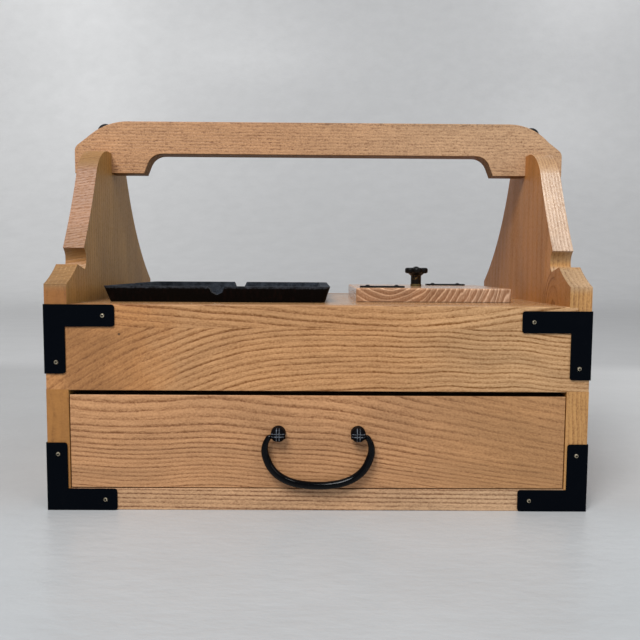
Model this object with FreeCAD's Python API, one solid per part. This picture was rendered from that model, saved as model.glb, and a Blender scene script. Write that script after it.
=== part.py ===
import FreeCAD, Part
import os
from math import atan2, cos, degrees, pi, radians, sin, sqrt
from FreeCAD import Vector

# A Japanese carrying tobacco box, in millimetres.
# X runs to the right, Y runs away from the drawer front and Z runs up.
# The origin is on the floor, under the middle of the box.

# Case
box_width = 330.0
box_depth = 206.0
box_height = 126.4
side_thickness = 13.5
front_board_height = 52.2
front_thickness = 12.0
back_thickness = 12.0
bottom_thickness = 13.5
top_thickness = 8.5
dust_board_thickness = 6.0
housing_depth = 4.0
lip_width = 8.0
lip_height = 13.0
arris = 0.5

# Scroll-cut uprights: places are (distance behind the front face, height above the box)
foot_height = 12.0
chamfer_middle = (9.2, 16.4)
ledge_front = (20.3, 24.0)
ledge_back = (33.5, 20.8)
cove_middle = (36.4, 27.6)
lip_tip = (32.3, 34.7)
front_sweep_hollow = 1.2
back_sweep_hollow = 7.9

# The uprights' shoulders: places are (distance out from the beam's face, depth below the beam)
front_shoulder_start = (35.2, 19.9)
front_shoulder_middle = (25.2, 6.4)
back_shoulder_start = (25.8, 12.9)
back_shoulder_middle = (19.8, 5.4)
shoulder_end_margin = 3.0

# Carrying beam
beam_overhang = 13.2
beam_depth = 13.5
beam_middle_y = -1.5
beam_top_above_box = 128.2
beam_height = 23.3
lug_drop = 14.2
inner_lug_length = 23.6
lug_cove_run = 13.6
lug_cut_top = (3.0, 7.4)
lug_cove_middle = (6.3, 11.7)
beam_shoulder_run = 39.2
beam_shoulder_bend = (29.0, 10.8)
beam_shoulder_corner = (36.4, 16.4)
beam_end_middle = (38.6, 18.9)
beam_end_drop = 22.2
right_shoulder_fall = 1.9

# Dome nails in the beam's shoulders
dome_nail_head = 10.4
dome_nail_height = 3.3
dome_nail_shank = 2.6
dome_nail_length = 13.0
dome_nail_run = 19.2

# Corner brackets and their nails
bracket_leg = 42.0
bracket_arm = 13.4
bracket_upright_arm = 12.2
bracket_sheet = 0.8
bracket_corner_radius = 1.8
bracket_bend_radius = 0.9
right_bracket_drop = 2.6
bracket_nail_inset = 7.0
nail_head = 3.0
nail_head_height = 0.7
nail_shank = 1.5
nail_length = 6.0

# Drawer
drawer_side_gap = 0.6
drawer_bottom_gap = 0.6
drawer_top_gap = 2.6
drawer_back_gap = 0.3
drawer_front_thickness = 12.0
drawer_side_thickness = 8.0
drawer_back_thickness = 8.0
drawer_bottom_thickness = 4.0
drawer_side_drop = 2.0
drawer_back_drop = 4.0
drawer_groove_height = 2.0
drawer_groove_depth = 3.0
drawer_lap = 5.0

# Bail pull and its posts
post_spacing = 48.6
post_height = 48.6
post_head = 9.0
post_head_length = 8.2
post_head_dome = 3.2
post_head_flat = 4.0
post_cut_width = 1.3
post_cut_depth = 0.6
post_shank = 4.4
post_shank_fit = 0.1
post_leg_length = 10.0
post_leg_width = 3.6
post_leg_thickness = 1.4
washer_size = 13.0
washer_thickness = 0.8
bail_axis_out = 4.6
bail_axis_drop = 1.6
bail_pin_radius = 1.3
bail_pin_fit = 0.06
bail_shoulder_gap = 0.3
bail_end_radius = 1.6
bail_side_radius = 2.4
bail_bottom_radius = 2.4
bail_drop = 29.9
bail_swell_share = 0.22
bail_rings = 33

# The bail's bend: places are (distance from its middle, depth below its pins)
bail_bend = ((31.0, 2.1), (32.0, 4.7), (32.3, 9.0), (31.0, 13.9),
             (28.1, 19.5), (23.3, 24.2), (16.8, 27.5), (9.0, 29.3))

# Ashtray
tray_rim_size = 147.0
tray_rim_radius = 4.5
tray_rim_height = 10.4
tray_flare = 3.5
tray_seat_radius = 3.8
tray_seat_ledge = 4.0
tray_body_radius = 4.0
tray_body_taper = 2.0
tray_depth = 27.0
tray_rim_wall = 6.5
tray_mouth_radius = 4.0
tray_body_wall = 3.5
tray_floor_thickness = 4.0
tray_middle_x = -66.0
tray_fit = 0.75
notch_width = 10.8
notch_knee = (3.6, 3.9)
notch_depth = 5.7

# Lid, its battens and fittings
lid_width = 104.4
lid_depth = 104.0
lid_thickness = 9.5
lid_middle_x = 77.4
lid_middle_y = -5.0
lid_edge_radius = 1.4
lid_overlap = 8.0
batten_width = 9.0
batten_thickness = 7.0
batten_fit = 0.8
compartment_wall = 6.0
knob_shift = -4.4
knob_height = 14.8
knob_collar_radius = 4.1
knob_collar_height = 1.8
knob_stem_radius = 3.8
knob_flare_radius = 6.2
knob_flare_rise = 1.0
knob_head_thickness = 5.0
knob_petals = 5
knob_petal_radius = 4.2
knob_petal_ring = 4.5
knob_petal_height = 4.2
knob_edge_radius = 1.5
knob_peak_radius = 2.4
knob_peak_height = 1.0
knob_screw_radius = 1.6
knob_screw_length = 7.0
plate_length = 30.6
plate_width = 11.0
plate_thickness = 1.1
plate_corner_cut = 2.4
plate_offset_x = 29.0
plate_offset_y = 37.0
plate_nail_spacing = 20.0
plate_nail_head = 3.6
plate_nail_head_height = 0.8
plate_nail_length = 6.0

# Places that follow from the sizes
side_outer = box_width / 2
side_inner = side_outer - side_thickness
front_y = -box_depth / 2
back_y = box_depth / 2
inner_front_y = front_y + front_thickness
inner_back_y = back_y - back_thickness
front_board_bottom = box_height - front_board_height
dust_board_top = front_board_bottom + dust_board_thickness
top_board_bottom = box_height - top_thickness
beam_end = side_outer + beam_overhang
beam_top = box_height + beam_top_above_box
beam_bottom = beam_top - beam_height
lug_bottom = beam_bottom - lug_drop
beam_front_y = beam_middle_y - beam_depth / 2
beam_back_y = beam_middle_y + beam_depth / 2
bracket_nail_line = bracket_arm / 2
bracket_nail_reach = bracket_leg - bracket_nail_inset
tray_seat_size = tray_rim_size - 2 * tray_flare
tray_body_size = tray_seat_size - 2 * tray_seat_ledge
tray_base_size = tray_body_size - 2 * tray_body_taper
lid_top = box_height + lid_thickness
hatch_width = lid_width - 2 * lid_overlap
hatch_depth = lid_depth - 2 * lid_overlap
knob_x = lid_middle_x + knob_shift
drawer_front_bottom = bottom_thickness + drawer_bottom_gap
drawer_front_top = front_board_bottom - drawer_top_gap
drawer_half = side_inner - drawer_side_gap
drawer_inner_half = drawer_half - drawer_side_thickness
drawer_inside_y = front_y + drawer_front_thickness
drawer_end_y = inner_back_y - drawer_back_gap
bail_axis_y = front_y - bail_axis_out
bail_axis_z = post_height - bail_axis_drop


def block(x, y, z):
    """A box between two corners, given as a pair of limits along each axis."""
    corner = Vector(x[0], y[0], z[0])
    return Part.makeBox(x[1] - x[0], y[1] - y[0], z[1] - z[0], corner)


def rod(start, direction, radius, length):
    return Part.makeCylinder(radius, length, Vector(*start), Vector(*direction))


def closed_face(edges):
    return Part.Face(Part.Wire(Part.__sortEdges__(edges)))


def outline_face(points):
    """A flat face inside straight lines through the points."""
    corners = [Vector(*point) for point in points]
    return Part.Face(Part.makePolygon(corners + corners[:1]))


def arc_edge(start, middle, end):
    return Part.Arc(Vector(*start), Vector(*middle), Vector(*end)).toShape()


def sweep_edge(start, end, hollow):
    """An arc between two places in one X plane, its middle drawn in behind the straight line."""
    run, rise = end[1] - start[1], end[2] - start[2]
    length = sqrt(run ** 2 + rise ** 2)
    middle = ((start[0] + end[0]) / 2,
              (start[1] + end[1]) / 2 + hollow * rise / length,
              (start[2] + end[2]) / 2 - hollow * run / length)
    return arc_edge(start, middle, end)


def line_edge(start, end):
    return Part.makeLine(Vector(*start), Vector(*end))


def mirrored(shape, axis):
    return shape.mirror(Vector(0, 0, 0), axis)


def ease(shape, chosen, radius):
    """Round the edges that a test on each edge picks."""
    edges = [edge for edge in shape.Edges if chosen(edge)]
    return shape.makeFillet(radius, edges)


def lies_on(edge, x=None, y=None, z=None):
    """True where every end of the edge has the given coordinates."""
    near = 0.01
    for vertex in edge.Vertexes:
        if x is not None and abs(abs(vertex.X) - x) > near:
            return False
        if y is not None and abs(vertex.Y - y) > near:
            return False
        if z is not None and abs(vertex.Z - z) > near:
            return False
    return True


def dome_nail(place, outward, head_radius, head_height, shank_radius, length):
    """A nail with a spherical cap for a head, its underside on the surface at place."""
    cap_radius = (head_radius ** 2 + head_height ** 2) / (2 * head_height)
    ball = Part.makeSphere(cap_radius, Vector(0, 0, head_height - cap_radius))
    cap = ball.common(rod((0, 0, 0), (0, 0, 1), head_radius, head_height))
    nail = cap.fuse(rod((0, 0, -length), (0, 0, 1), shank_radius, length))
    turn = FreeCAD.Rotation(Vector(0, 0, 1), Vector(*outward))
    nail.Placement = FreeCAD.Placement(Vector(*place), turn)
    return nail


def rounded_square(size, radius, middle_x, z):
    """A square wire with round corners, centred on middle_x at height z."""
    half = size / 2
    inner = half - radius
    slant = radius / sqrt(2)
    edges = []
    for turn in range(4):
        side = Part.makeLine(Vector(half, -inner, 0), Vector(half, inner, 0))
        corner = Part.Arc(Vector(half, inner, 0), Vector(inner + slant, inner + slant, 0),
                          Vector(inner, half, 0)).toShape()
        for edge in (side, corner):
            edge.rotate(Vector(0, 0, 0), Vector(0, 0, 1), 90 * turn)
            edge.translate(Vector(middle_x, 0, z))
            edges.append(edge)
    return Part.Wire(edges)


# Case boards

def upright_outline():
    """The side board's outline: stepped and coved in front, one plain sweep behind."""
    def at(point):
        return (0, front_y + point[0], box_height + point[1])

    def before_beam(point):
        return (0, beam_front_y - point[0], beam_bottom - point[1])

    def behind_beam(point):
        return (0, beam_back_y + point[0], beam_bottom - point[1])

    front_start = before_beam(front_shoulder_start)
    back_start = behind_beam(back_shoulder_start)
    front_end = (0, beam_front_y - shoulder_end_margin, beam_bottom)
    back_end = (0, beam_back_y + shoulder_end_margin, beam_bottom)
    front_foot = (0, front_y, box_height + foot_height)
    back_foot = (0, back_y, box_height + foot_height)
    edges = [
        line_edge((0, front_y, 0), front_foot),
        arc_edge(front_foot, at(chamfer_middle), at(ledge_front)),
        line_edge(at(ledge_front), at(ledge_back)),
        arc_edge(at(ledge_back), at(cove_middle), at(lip_tip)),
        sweep_edge(at(lip_tip), front_start, front_sweep_hollow),
        arc_edge(front_start, before_beam(front_shoulder_middle), front_end),
        line_edge(front_end, back_end),
        arc_edge(back_end, behind_beam(back_shoulder_middle), back_start),
        sweep_edge(back_start, back_foot, back_sweep_hollow),
        line_edge(back_foot, (0, back_y, 0)),
        line_edge((0, back_y, 0), (0, front_y, 0)),
    ]
    return closed_face(edges)


def side_board_right():
    board = upright_outline().extrude(Vector(side_thickness, 0, 0))
    board.translate(Vector(side_inner, 0, 0))
    for joined in (front_board(), back_board(), bottom_board(), top_blank(), dust_board()):
        board = board.cut(joined)
    return board


def front_board():
    """The full-width board over the drawer, cut round the side boards' lips at its top corners."""
    board = block((-side_outer, side_outer), (front_y, inner_front_y), (front_board_bottom, box_height))
    for side in (-1, 1):
        outer, inner = side * side_outer, side * (side_outer - lip_width)
        board = board.cut(block(sorted((inner, outer)), (front_y, inner_front_y),
                                (box_height - lip_height, box_height)))
    return ease(board, lambda edge: lies_on(edge, y=front_y, z=box_height)
                or lies_on(edge, y=front_y, z=front_board_bottom), arris)


def back_board():
    board = block((-side_outer, side_outer), (inner_back_y, back_y), (0, box_height))
    return ease(board, lambda edge: lies_on(edge, y=back_y, z=box_height), arris)


def bottom_board():
    reach = side_inner + housing_depth
    board = block((-reach, reach), (front_y, inner_back_y), (0, bottom_thickness))
    return ease(board, lambda edge: lies_on(edge, y=front_y, z=bottom_thickness), arris)


def dust_board():
    reach = side_inner + housing_depth
    return block((-reach, reach), (inner_front_y, inner_back_y), (front_board_bottom, dust_board_top))


def top_blank():
    reach = side_inner + housing_depth
    return block((-reach, reach), (inner_front_y, inner_back_y), (top_board_bottom, box_height))


def top_board():
    """The top board with the ashtray's opening and the compartment's hatch."""
    opening_size = tray_body_size + 2 * tray_fit
    opening = Part.Face(rounded_square(opening_size, tray_body_radius, tray_middle_x, top_board_bottom))
    board = top_blank().cut(opening.extrude(Vector(0, 0, top_thickness)))
    return board.cut(hatch(top_board_bottom, box_height))


def hatch(low, high):
    return block((lid_middle_x - hatch_width / 2, lid_middle_x + hatch_width / 2),
                 (lid_middle_y - hatch_depth / 2, lid_middle_y + hatch_depth / 2), (low, high))


def partition(side):
    """A board from front to back beside the hatch."""
    inner = lid_middle_x + side * hatch_width / 2
    outer = inner + side * compartment_wall
    return block(sorted((inner, outer)), (inner_front_y, inner_back_y), (dust_board_top, top_board_bottom))


def cross_wall(side):
    """A short board across the compartment, between the partitions."""
    inner = lid_middle_y + side * hatch_depth / 2
    outer = inner + side * compartment_wall
    return block((lid_middle_x - hatch_width / 2, lid_middle_x + hatch_width / 2),
                 sorted((inner, outer)), (dust_board_top, top_board_bottom))


# Beam

def shoulder_fall(side):
    """The right shoulder was cut a little lower than the left one."""
    return right_shoulder_fall if side > 0 else 0.0


def shoulder_radius(side):
    bend_x, bend_z = beam_shoulder_bend[0], beam_shoulder_bend[1] + shoulder_fall(side)
    return (bend_x ** 2 + bend_z ** 2) / (2 * bend_z)


def half_beam_outline(side):
    """Half of the beam with one side's shoulder, drawn on the right, without the upright's notch."""
    flat_end = beam_end - beam_shoulder_run
    shoulder_top = beam_top - shoulder_fall(side)
    inner_lug = side_inner - inner_lug_length
    cove_end = inner_lug - lug_cove_run
    cut_top = (inner_lug - lug_cut_top[0], 0, lug_bottom + lug_cut_top[1])
    cove_middle = (inner_lug - lug_cove_middle[0], 0, lug_bottom + lug_cove_middle[1])
    bend = (flat_end + beam_shoulder_bend[0], 0, shoulder_top - beam_shoulder_bend[1])
    corner = (flat_end + beam_shoulder_corner[0], 0, shoulder_top - beam_shoulder_corner[1])
    end_middle = (flat_end + beam_end_middle[0], 0, shoulder_top - beam_end_middle[1])
    end_top = (beam_end, 0, shoulder_top - beam_end_drop)
    radius = shoulder_radius(side)
    half_way = beam_shoulder_bend[0] / 2
    bend_middle = (flat_end + half_way, 0, beam_top - radius + sqrt(radius ** 2 - half_way ** 2))
    edges = [
        line_edge((0, 0, beam_top), (flat_end, 0, beam_top)),
        arc_edge((flat_end, 0, beam_top), bend_middle, bend),
        line_edge(bend, corner),
        arc_edge(corner, end_middle, end_top),
        line_edge(end_top, (beam_end, 0, lug_bottom)),
        line_edge((beam_end, 0, lug_bottom), (inner_lug, 0, lug_bottom)),
        line_edge((inner_lug, 0, lug_bottom), cut_top),
        arc_edge(cut_top, cove_middle, (cove_end, 0, beam_bottom)),
        line_edge((cove_end, 0, beam_bottom), (0, 0, beam_bottom)),
        line_edge((0, 0, beam_bottom), (0, 0, beam_top)),
    ]
    return closed_face(edges)


def half_beam(side):
    half = half_beam_outline(side).extrude(Vector(0, beam_depth, 0))
    half.translate(Vector(0, beam_front_y, 0))
    notch = block((side_inner, side_outer), (beam_front_y, beam_back_y), (lug_bottom, beam_bottom))
    return half.cut(notch)


def handle_beam():
    beam = half_beam(1).fuse(mirrored(half_beam(-1), Vector(1, 0, 0))).removeSplitter()
    return ease(beam, lambda edge: edge.BoundBox.YLength < arris
                and not lies_on(edge, x=side_inner) and not lies_on(edge, x=side_outer)
                and not lies_on_notch_top(edge), arris)


def lies_on_notch_top(edge):
    box = edge.BoundBox
    return lies_on(edge, z=beam_bottom) and min(abs(box.XMin), abs(box.XMax)) > side_inner - arris


def shoulder_nail(side):
    """A dome nail seated square on the round of the beam's shoulder."""
    radius = shoulder_radius(side)
    lean = sqrt(1 - (dome_nail_run / radius) ** 2)
    x = beam_end - beam_shoulder_run + dome_nail_run
    z = beam_top - radius + radius * lean
    outward = (side * dome_nail_run / radius, 0, lean)
    return dome_nail((side * x, beam_middle_y, z), outward, dome_nail_head / 2,
                     dome_nail_height, dome_nail_shank / 2, dome_nail_length)


# Corner brackets

def bracket_plate():
    """One L of sheet, its corner at the origin, reaching to -X and -Z, on the side of -Y."""
    plate = outline_face([
        (0, 0, 0), (-bracket_leg, 0, 0), (-bracket_leg, 0, -bracket_arm),
        (-bracket_upright_arm, 0, -bracket_arm), (-bracket_upright_arm, 0, -bracket_leg),
        (0, 0, -bracket_leg),
    ]).extrude(Vector(0, -bracket_sheet, 0))

    def free_corner(edge):
        x, z = edge.CenterOfMass.x, edge.CenterOfMass.z
        upright_edge = edge.BoundBox.YLength > bracket_sheet / 2
        at_long_end = abs(x + bracket_leg) < bracket_corner_radius
        at_low_end = abs(z + bracket_leg) < bracket_corner_radius and x < -bracket_corner_radius
        return upright_edge and (at_long_end or at_low_end)

    return ease(plate, free_corner, bracket_corner_radius)


def bracket_front_right_top():
    """Two L plates folded round the box's upright edge, from one piece of sheet."""
    front = bracket_plate()
    side = bracket_plate()
    side.rotate(Vector(0, 0, 0), Vector(0, 0, 1), 90)
    side = mirrored(side, Vector(0, 1, 0))
    fold = block((0, bracket_sheet), (-bracket_sheet, 0), (-bracket_leg, 0))
    bracket = front.fuse([side, fold]).removeSplitter()
    bracket = ease(bracket, lambda edge: edge.BoundBox.ZLength > bracket_leg / 2
                   and edge.CenterOfMass.x > bracket_sheet / 2
                   and edge.CenterOfMass.y < -bracket_sheet / 2, bracket_bend_radius)
    bracket.translate(Vector(side_outer, front_y, box_height))
    return bracket


def corner_bracket(side, face, level):
    """The bracket at one corner: side -1 is left, face -1 is front, level 1 is the top."""
    bracket = bracket_front_right_top()
    if level < 0:
        bracket.translate(Vector(0, 0, -box_height))
        bracket = mirrored(bracket, Vector(0, 0, 1))
    if side < 0:
        bracket = mirrored(bracket, Vector(1, 0, 0))
    if face > 0:
        bracket = mirrored(bracket, Vector(0, 1, 0))
    bracket.translate(Vector(0, 0, -bracket_drop(side, face, level)))
    return bracket


def bracket_drop(side, face, level):
    """The right front top bracket was nailed on a little low."""
    return right_bracket_drop if (side, face, level) == (1, -1, 1) else 0.0


def bracket_nail_heights(level, drop):
    """Heights of the nail in the level arm and of the nail in the upright arm."""
    edge = box_height - drop if level > 0 else 0.0
    return edge - level * bracket_nail_line, edge - level * bracket_nail_reach


def face_nails(face):
    """The bracket nails on the front or the back of the box."""
    nails = []
    for side in (-1, 1):
        for level in (-1, 1):
            arm_z, leg_z = bracket_nail_heights(level, bracket_drop(side, face, level))
            for inset, z in ((bracket_nail_reach, arm_z), (bracket_nail_line, leg_z)):
                place = (side * (side_outer - inset), face * (back_y + bracket_sheet), z)
                nails.append(dome_nail(place, (0, face, 0), nail_head / 2, nail_head_height,
                                       nail_shank / 2, nail_length))
    return nails


def end_nails(side):
    """The bracket nails on the left or the right side of the box."""
    nails = []
    for face in (-1, 1):
        for level in (-1, 1):
            arm_z, leg_z = bracket_nail_heights(level, bracket_drop(side, face, level))
            for inset, z in ((bracket_nail_reach, arm_z), (bracket_nail_line, leg_z)):
                place = (side * (side_outer + bracket_sheet), face * (back_y - inset), z)
                nails.append(dome_nail(place, (side, 0, 0), nail_head / 2, nail_head_height,
                                       nail_shank / 2, nail_length))
    return nails


# Drawer

def drawer_front():
    front = block((-drawer_half, drawer_half), (front_y, drawer_inside_y),
                  (drawer_front_bottom, drawer_front_top))
    front = ease(front, lambda edge: lies_on(edge, y=front_y), arris)
    for side in (-1, 1):
        front = front.cut(drawer_side(side))
        x = side * post_spacing / 2
        front = front.cut(rod((x, front_y, post_height), (0, 1, 0),
                              post_shank / 2 + post_shank_fit, drawer_front_thickness))
    return front.cut(drawer_bottom())


def drawer_side(side):
    """A drawer side, lapped into the back of the front and running on the bottom board."""
    outer, inner = side * drawer_half, side * drawer_inner_half
    board = block(sorted((inner, outer)), (drawer_inside_y - drawer_lap, drawer_end_y),
                  (bottom_thickness, drawer_front_top - drawer_side_drop))
    return board.cut(drawer_bottom())


def drawer_bottom():
    """The bottom panel, in grooves round the sides and the front and under the back."""
    low = bottom_thickness + drawer_groove_height
    reach = drawer_inner_half + drawer_groove_depth
    return block((-reach, reach), (drawer_inside_y - drawer_groove_depth, drawer_end_y),
                 (low, low + drawer_bottom_thickness))


def drawer_back():
    low = bottom_thickness + drawer_groove_height + drawer_bottom_thickness
    return block((-drawer_inner_half, drawer_inner_half),
                 (drawer_end_y - drawer_back_thickness, drawer_end_y),
                 (low, drawer_front_top - drawer_side_drop - drawer_back_drop))


# Bail pull

def pull_post(side):
    """A post with a domed, cross-cut head, flat below, the bail's hole and two bent legs."""
    x = side * post_spacing / 2
    head = rod((x, front_y, post_height), (0, -1, 0), post_head / 2, post_head_length)
    head = ease(head, lambda edge: edge.BoundBox.YMax < front_y - post_head_length / 2, post_head_dome)
    tip = front_y - post_head_length
    half_cut = post_cut_width / 2
    reach = post_head / 2
    head = head.cut(block((x - half_cut, x + half_cut), (tip, tip + post_cut_depth),
                          (post_height - reach, post_height + reach)))
    head = head.cut(block((x - reach, x + reach), (tip, tip + post_cut_depth),
                          (post_height - half_cut, post_height + half_cut)))
    head = head.cut(block((x - reach, x + reach), (tip, front_y),
                          (post_height - reach, post_height - post_head_flat)))
    shank_length = drawer_front_thickness + washer_thickness + post_leg_thickness
    shank = rod((x, front_y, post_height), (0, 1, 0), post_shank / 2, shank_length)
    leg_front = drawer_inside_y + washer_thickness
    legs = block((x - post_leg_width / 2, x + post_leg_width / 2),
                 (leg_front, leg_front + post_leg_thickness),
                 (post_height - post_leg_length, post_height + post_leg_length))
    post = head.fuse([shank, legs]).removeSplitter()
    return post.cut(rod((x - reach, bail_axis_y, bail_axis_z), (1, 0, 0),
                        bail_pin_radius + bail_pin_fit, post_head))


def pull_washer(side):
    """The small plate between the bent legs and the wood."""
    x = side * post_spacing / 2
    half = washer_size / 2
    plate = block((x - half, x + half), (drawer_inside_y, drawer_inside_y + washer_thickness),
                  (post_height - half, post_height + half))
    return plate.cut(rod((x, drawer_inside_y, post_height), (0, 1, 0),
                         post_shank / 2 + post_shank_fit, washer_thickness))


def bail_line():
    """The bail's centre line: level at each shoulder, and down and round between them."""
    shoulder = (post_spacing / 2 + post_head / 2 + bail_shoulder_gap, 0.0)
    half = [shoulder, *bail_bend]
    points = half + [(0.0, bail_drop)] + [(-x, drop) for x, drop in reversed(half)]
    curve = Part.BSplineCurve()
    curve.interpolate(Points=[Vector(x, bail_axis_y, bail_axis_z - drop) for x, drop in points],
                      InitialTangent=Vector(1, 0, 0), FinalTangent=Vector(1, 0, 0), Scale=False)
    return curve


def bail_radius(share):
    """The rod swells from its ends to its sides and thins again at the bottom."""
    if share > 0.5:
        share = 1 - share
    if share < bail_swell_share:
        swell = sin(pi / 2 * share / bail_swell_share)
        return bail_end_radius + (bail_side_radius - bail_end_radius) * swell
    fall = (1 - cos(pi * (share - bail_swell_share) / (0.5 - bail_swell_share))) / 2
    return bail_side_radius + (bail_bottom_radius - bail_side_radius) * fall


def pull_bail():
    """The bail: a forged rod of changing thickness, with a pin at each end for its post."""
    curve = bail_line()
    rings = []
    for station in range(bail_rings):
        share = station / (bail_rings - 1)
        parameter = curve.FirstParameter + share * (curve.LastParameter - curve.FirstParameter)
        place = curve.value(parameter)
        along = curve.tangent(parameter)[0]
        ring = Part.Wire(Part.makeCircle(bail_radius(share), Vector(0, 0, 0), Vector(1, 0, 0)))
        ring.rotate(Vector(0, 0, 0), Vector(0, 1, 0), -degrees(atan2(along.z, along.x)))
        ring.translate(place)
        rings.append(ring)
    bail = Part.makeLoft(rings, True, False)
    pin_inner = post_spacing / 2 - post_head / 2
    pin_outer = post_spacing / 2 + post_head / 2 + bail_shoulder_gap + bail_pin_radius
    for side in (-1, 1):
        pin = rod((side * pin_inner, bail_axis_y, bail_axis_z), (side, 0, 0),
                  bail_pin_radius, pin_outer - pin_inner)
        bail = bail.fuse(pin)
    return bail


# Ashtray

def tapered(levels):
    """A solid through rounded squares, each level given as size, corner radius and height."""
    wires = [rounded_square(size, radius, tray_middle_x, z) for size, radius, z in levels]
    return Part.makeLoft(wires, True, True)


def ashtray():
    """A cast tray: a flared rim on the top board, a body through its opening, four notches."""
    rim_z = box_height + tray_rim_height
    base_z = box_height - tray_depth
    floor_z = base_z + tray_floor_thickness
    rim = tapered([(tray_seat_size, tray_seat_radius, box_height), (tray_rim_size, tray_rim_radius, rim_z)])
    body = tapered([(tray_base_size, tray_body_radius - tray_body_taper, base_z),
                    (tray_body_size, tray_body_radius, box_height)])
    floor_size = tray_base_size - 2 * tray_body_wall
    neck_size = tray_body_size - 2 * tray_body_wall
    mouth_size = tray_rim_size - 2 * tray_rim_wall
    bowl = tapered([(floor_size, tray_mouth_radius, floor_z),
                    (neck_size, tray_mouth_radius, box_height),
                    (mouth_size, tray_mouth_radius, rim_z)])
    tray = rim.fuse(body).cut(bowl)
    half, reach = notch_width / 2, tray_rim_size
    knee_x, knee_z = notch_knee
    notch = outline_face([
        (-half, -reach / 2, 0), (-knee_x, -reach / 2, -knee_z), (0, -reach / 2, -notch_depth),
        (knee_x, -reach / 2, -knee_z), (half, -reach / 2, 0),
    ]).extrude(Vector(0, reach, 0))
    for turn in (0, 90):
        cutter = notch.copy()
        cutter.rotate(Vector(0, 0, 0), Vector(0, 0, 1), turn)
        cutter.translate(Vector(tray_middle_x, 0, rim_z))
        tray = tray.cut(cutter)
    return tray


# Lid

def lid_panel():
    panel = block((lid_middle_x - lid_width / 2, lid_middle_x + lid_width / 2),
                  (lid_middle_y - lid_depth / 2, lid_middle_y + lid_depth / 2), (box_height, lid_top))
    return ease(panel, lambda edge: edge.BoundBox.ZMin > box_height + arris
                or edge.BoundBox.ZLength > arris, lid_edge_radius)


def lid_batten(side):
    """A batten across the lid's grain, just inside the hatch."""
    half = hatch_width / 2 - batten_fit
    outer = lid_middle_y + side * (hatch_depth / 2 - batten_fit)
    inner = outer - side * batten_width
    return block((lid_middle_x - half, lid_middle_x + half), sorted((inner, outer)),
                 (box_height - batten_thickness, box_height))


def knob_collar():
    """The ring between the knob's stem and the lid."""
    place = (knob_x, lid_middle_y, lid_top)
    ring = rod(place, (0, 0, 1), knob_collar_radius, knob_collar_height)
    return ring.cut(rod(place, (0, 0, 1), knob_screw_radius, knob_collar_height))


def lid_knob():
    """A knob with a flower-shaped head on a flared stem, and its screw into the lid."""
    stem_z = lid_top + knob_collar_height
    top_z = lid_top + knob_height - knob_peak_height
    head_z = top_z - knob_head_thickness
    petal_z = top_z - knob_petal_height
    profile = outline_face([
        (0, 0, stem_z), (knob_stem_radius, 0, stem_z),
        (knob_stem_radius, 0, head_z - knob_flare_rise),
        (knob_flare_radius, 0, head_z + knob_flare_rise),
        (knob_flare_radius, 0, top_z), (0, 0, top_z),
    ])
    stem = profile.revolve(Vector(0, 0, 0), Vector(0, 0, 1), 360)
    pieces = []
    for petal in range(knob_petals):
        angle = radians(270 + 360 * petal / knob_petals)
        middle = (knob_petal_ring * cos(angle), knob_petal_ring * sin(angle), petal_z)
        disc = rod(middle, (0, 0, 1), knob_petal_radius, knob_petal_height)
        pieces.append(disc.makeFillet(knob_edge_radius, disc.Edges[:1] + disc.Edges[2:]))
    peak_radius = (knob_peak_radius ** 2 + knob_peak_height ** 2) / (2 * knob_peak_height)
    peak = Part.makeSphere(peak_radius, Vector(0, 0, top_z + knob_peak_height - peak_radius))
    pieces.append(peak.common(rod((0, 0, top_z), (0, 0, 1), knob_peak_radius, knob_peak_height)))
    pieces.append(rod((0, 0, lid_top - knob_screw_length), (0, 0, 1), knob_screw_radius,
                      knob_screw_length + knob_collar_height))
    knob = stem.fuse(pieces)
    knob.translate(Vector(knob_x, lid_middle_y, 0))
    return knob


def lid_plate(side):
    """A small flat plate with cut corners, nailed on the lid."""
    x = knob_x + side * plate_offset_x
    y = lid_middle_y + side * plate_offset_y
    half_x, half_y, cut = plate_length / 2, plate_width / 2, plate_corner_cut
    corners = []
    for sx, sy in ((1, 1), (-1, 1), (-1, -1), (1, -1)):
        long_cut = (x + sx * (half_x - cut), y + sy * half_y, lid_top)
        short_cut = (x + sx * half_x, y + sy * (half_y - cut), lid_top)
        corners += [short_cut, long_cut] if sx * sy > 0 else [long_cut, short_cut]
    return outline_face(corners).extrude(Vector(0, 0, plate_thickness))


def lid_plate_nails():
    nails = []
    for side in (-1, 1):
        for end in (-1, 1):
            x = knob_x + side * plate_offset_x + end * plate_nail_spacing / 2
            place = (x, lid_middle_y + side * plate_offset_y, lid_top + plate_thickness)
            nails.append(dome_nail(place, (0, 0, 1), plate_nail_head / 2, plate_nail_head_height,
                                   nail_shank / 2, plate_nail_length + plate_thickness))
    return nails


# Assembly

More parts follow.
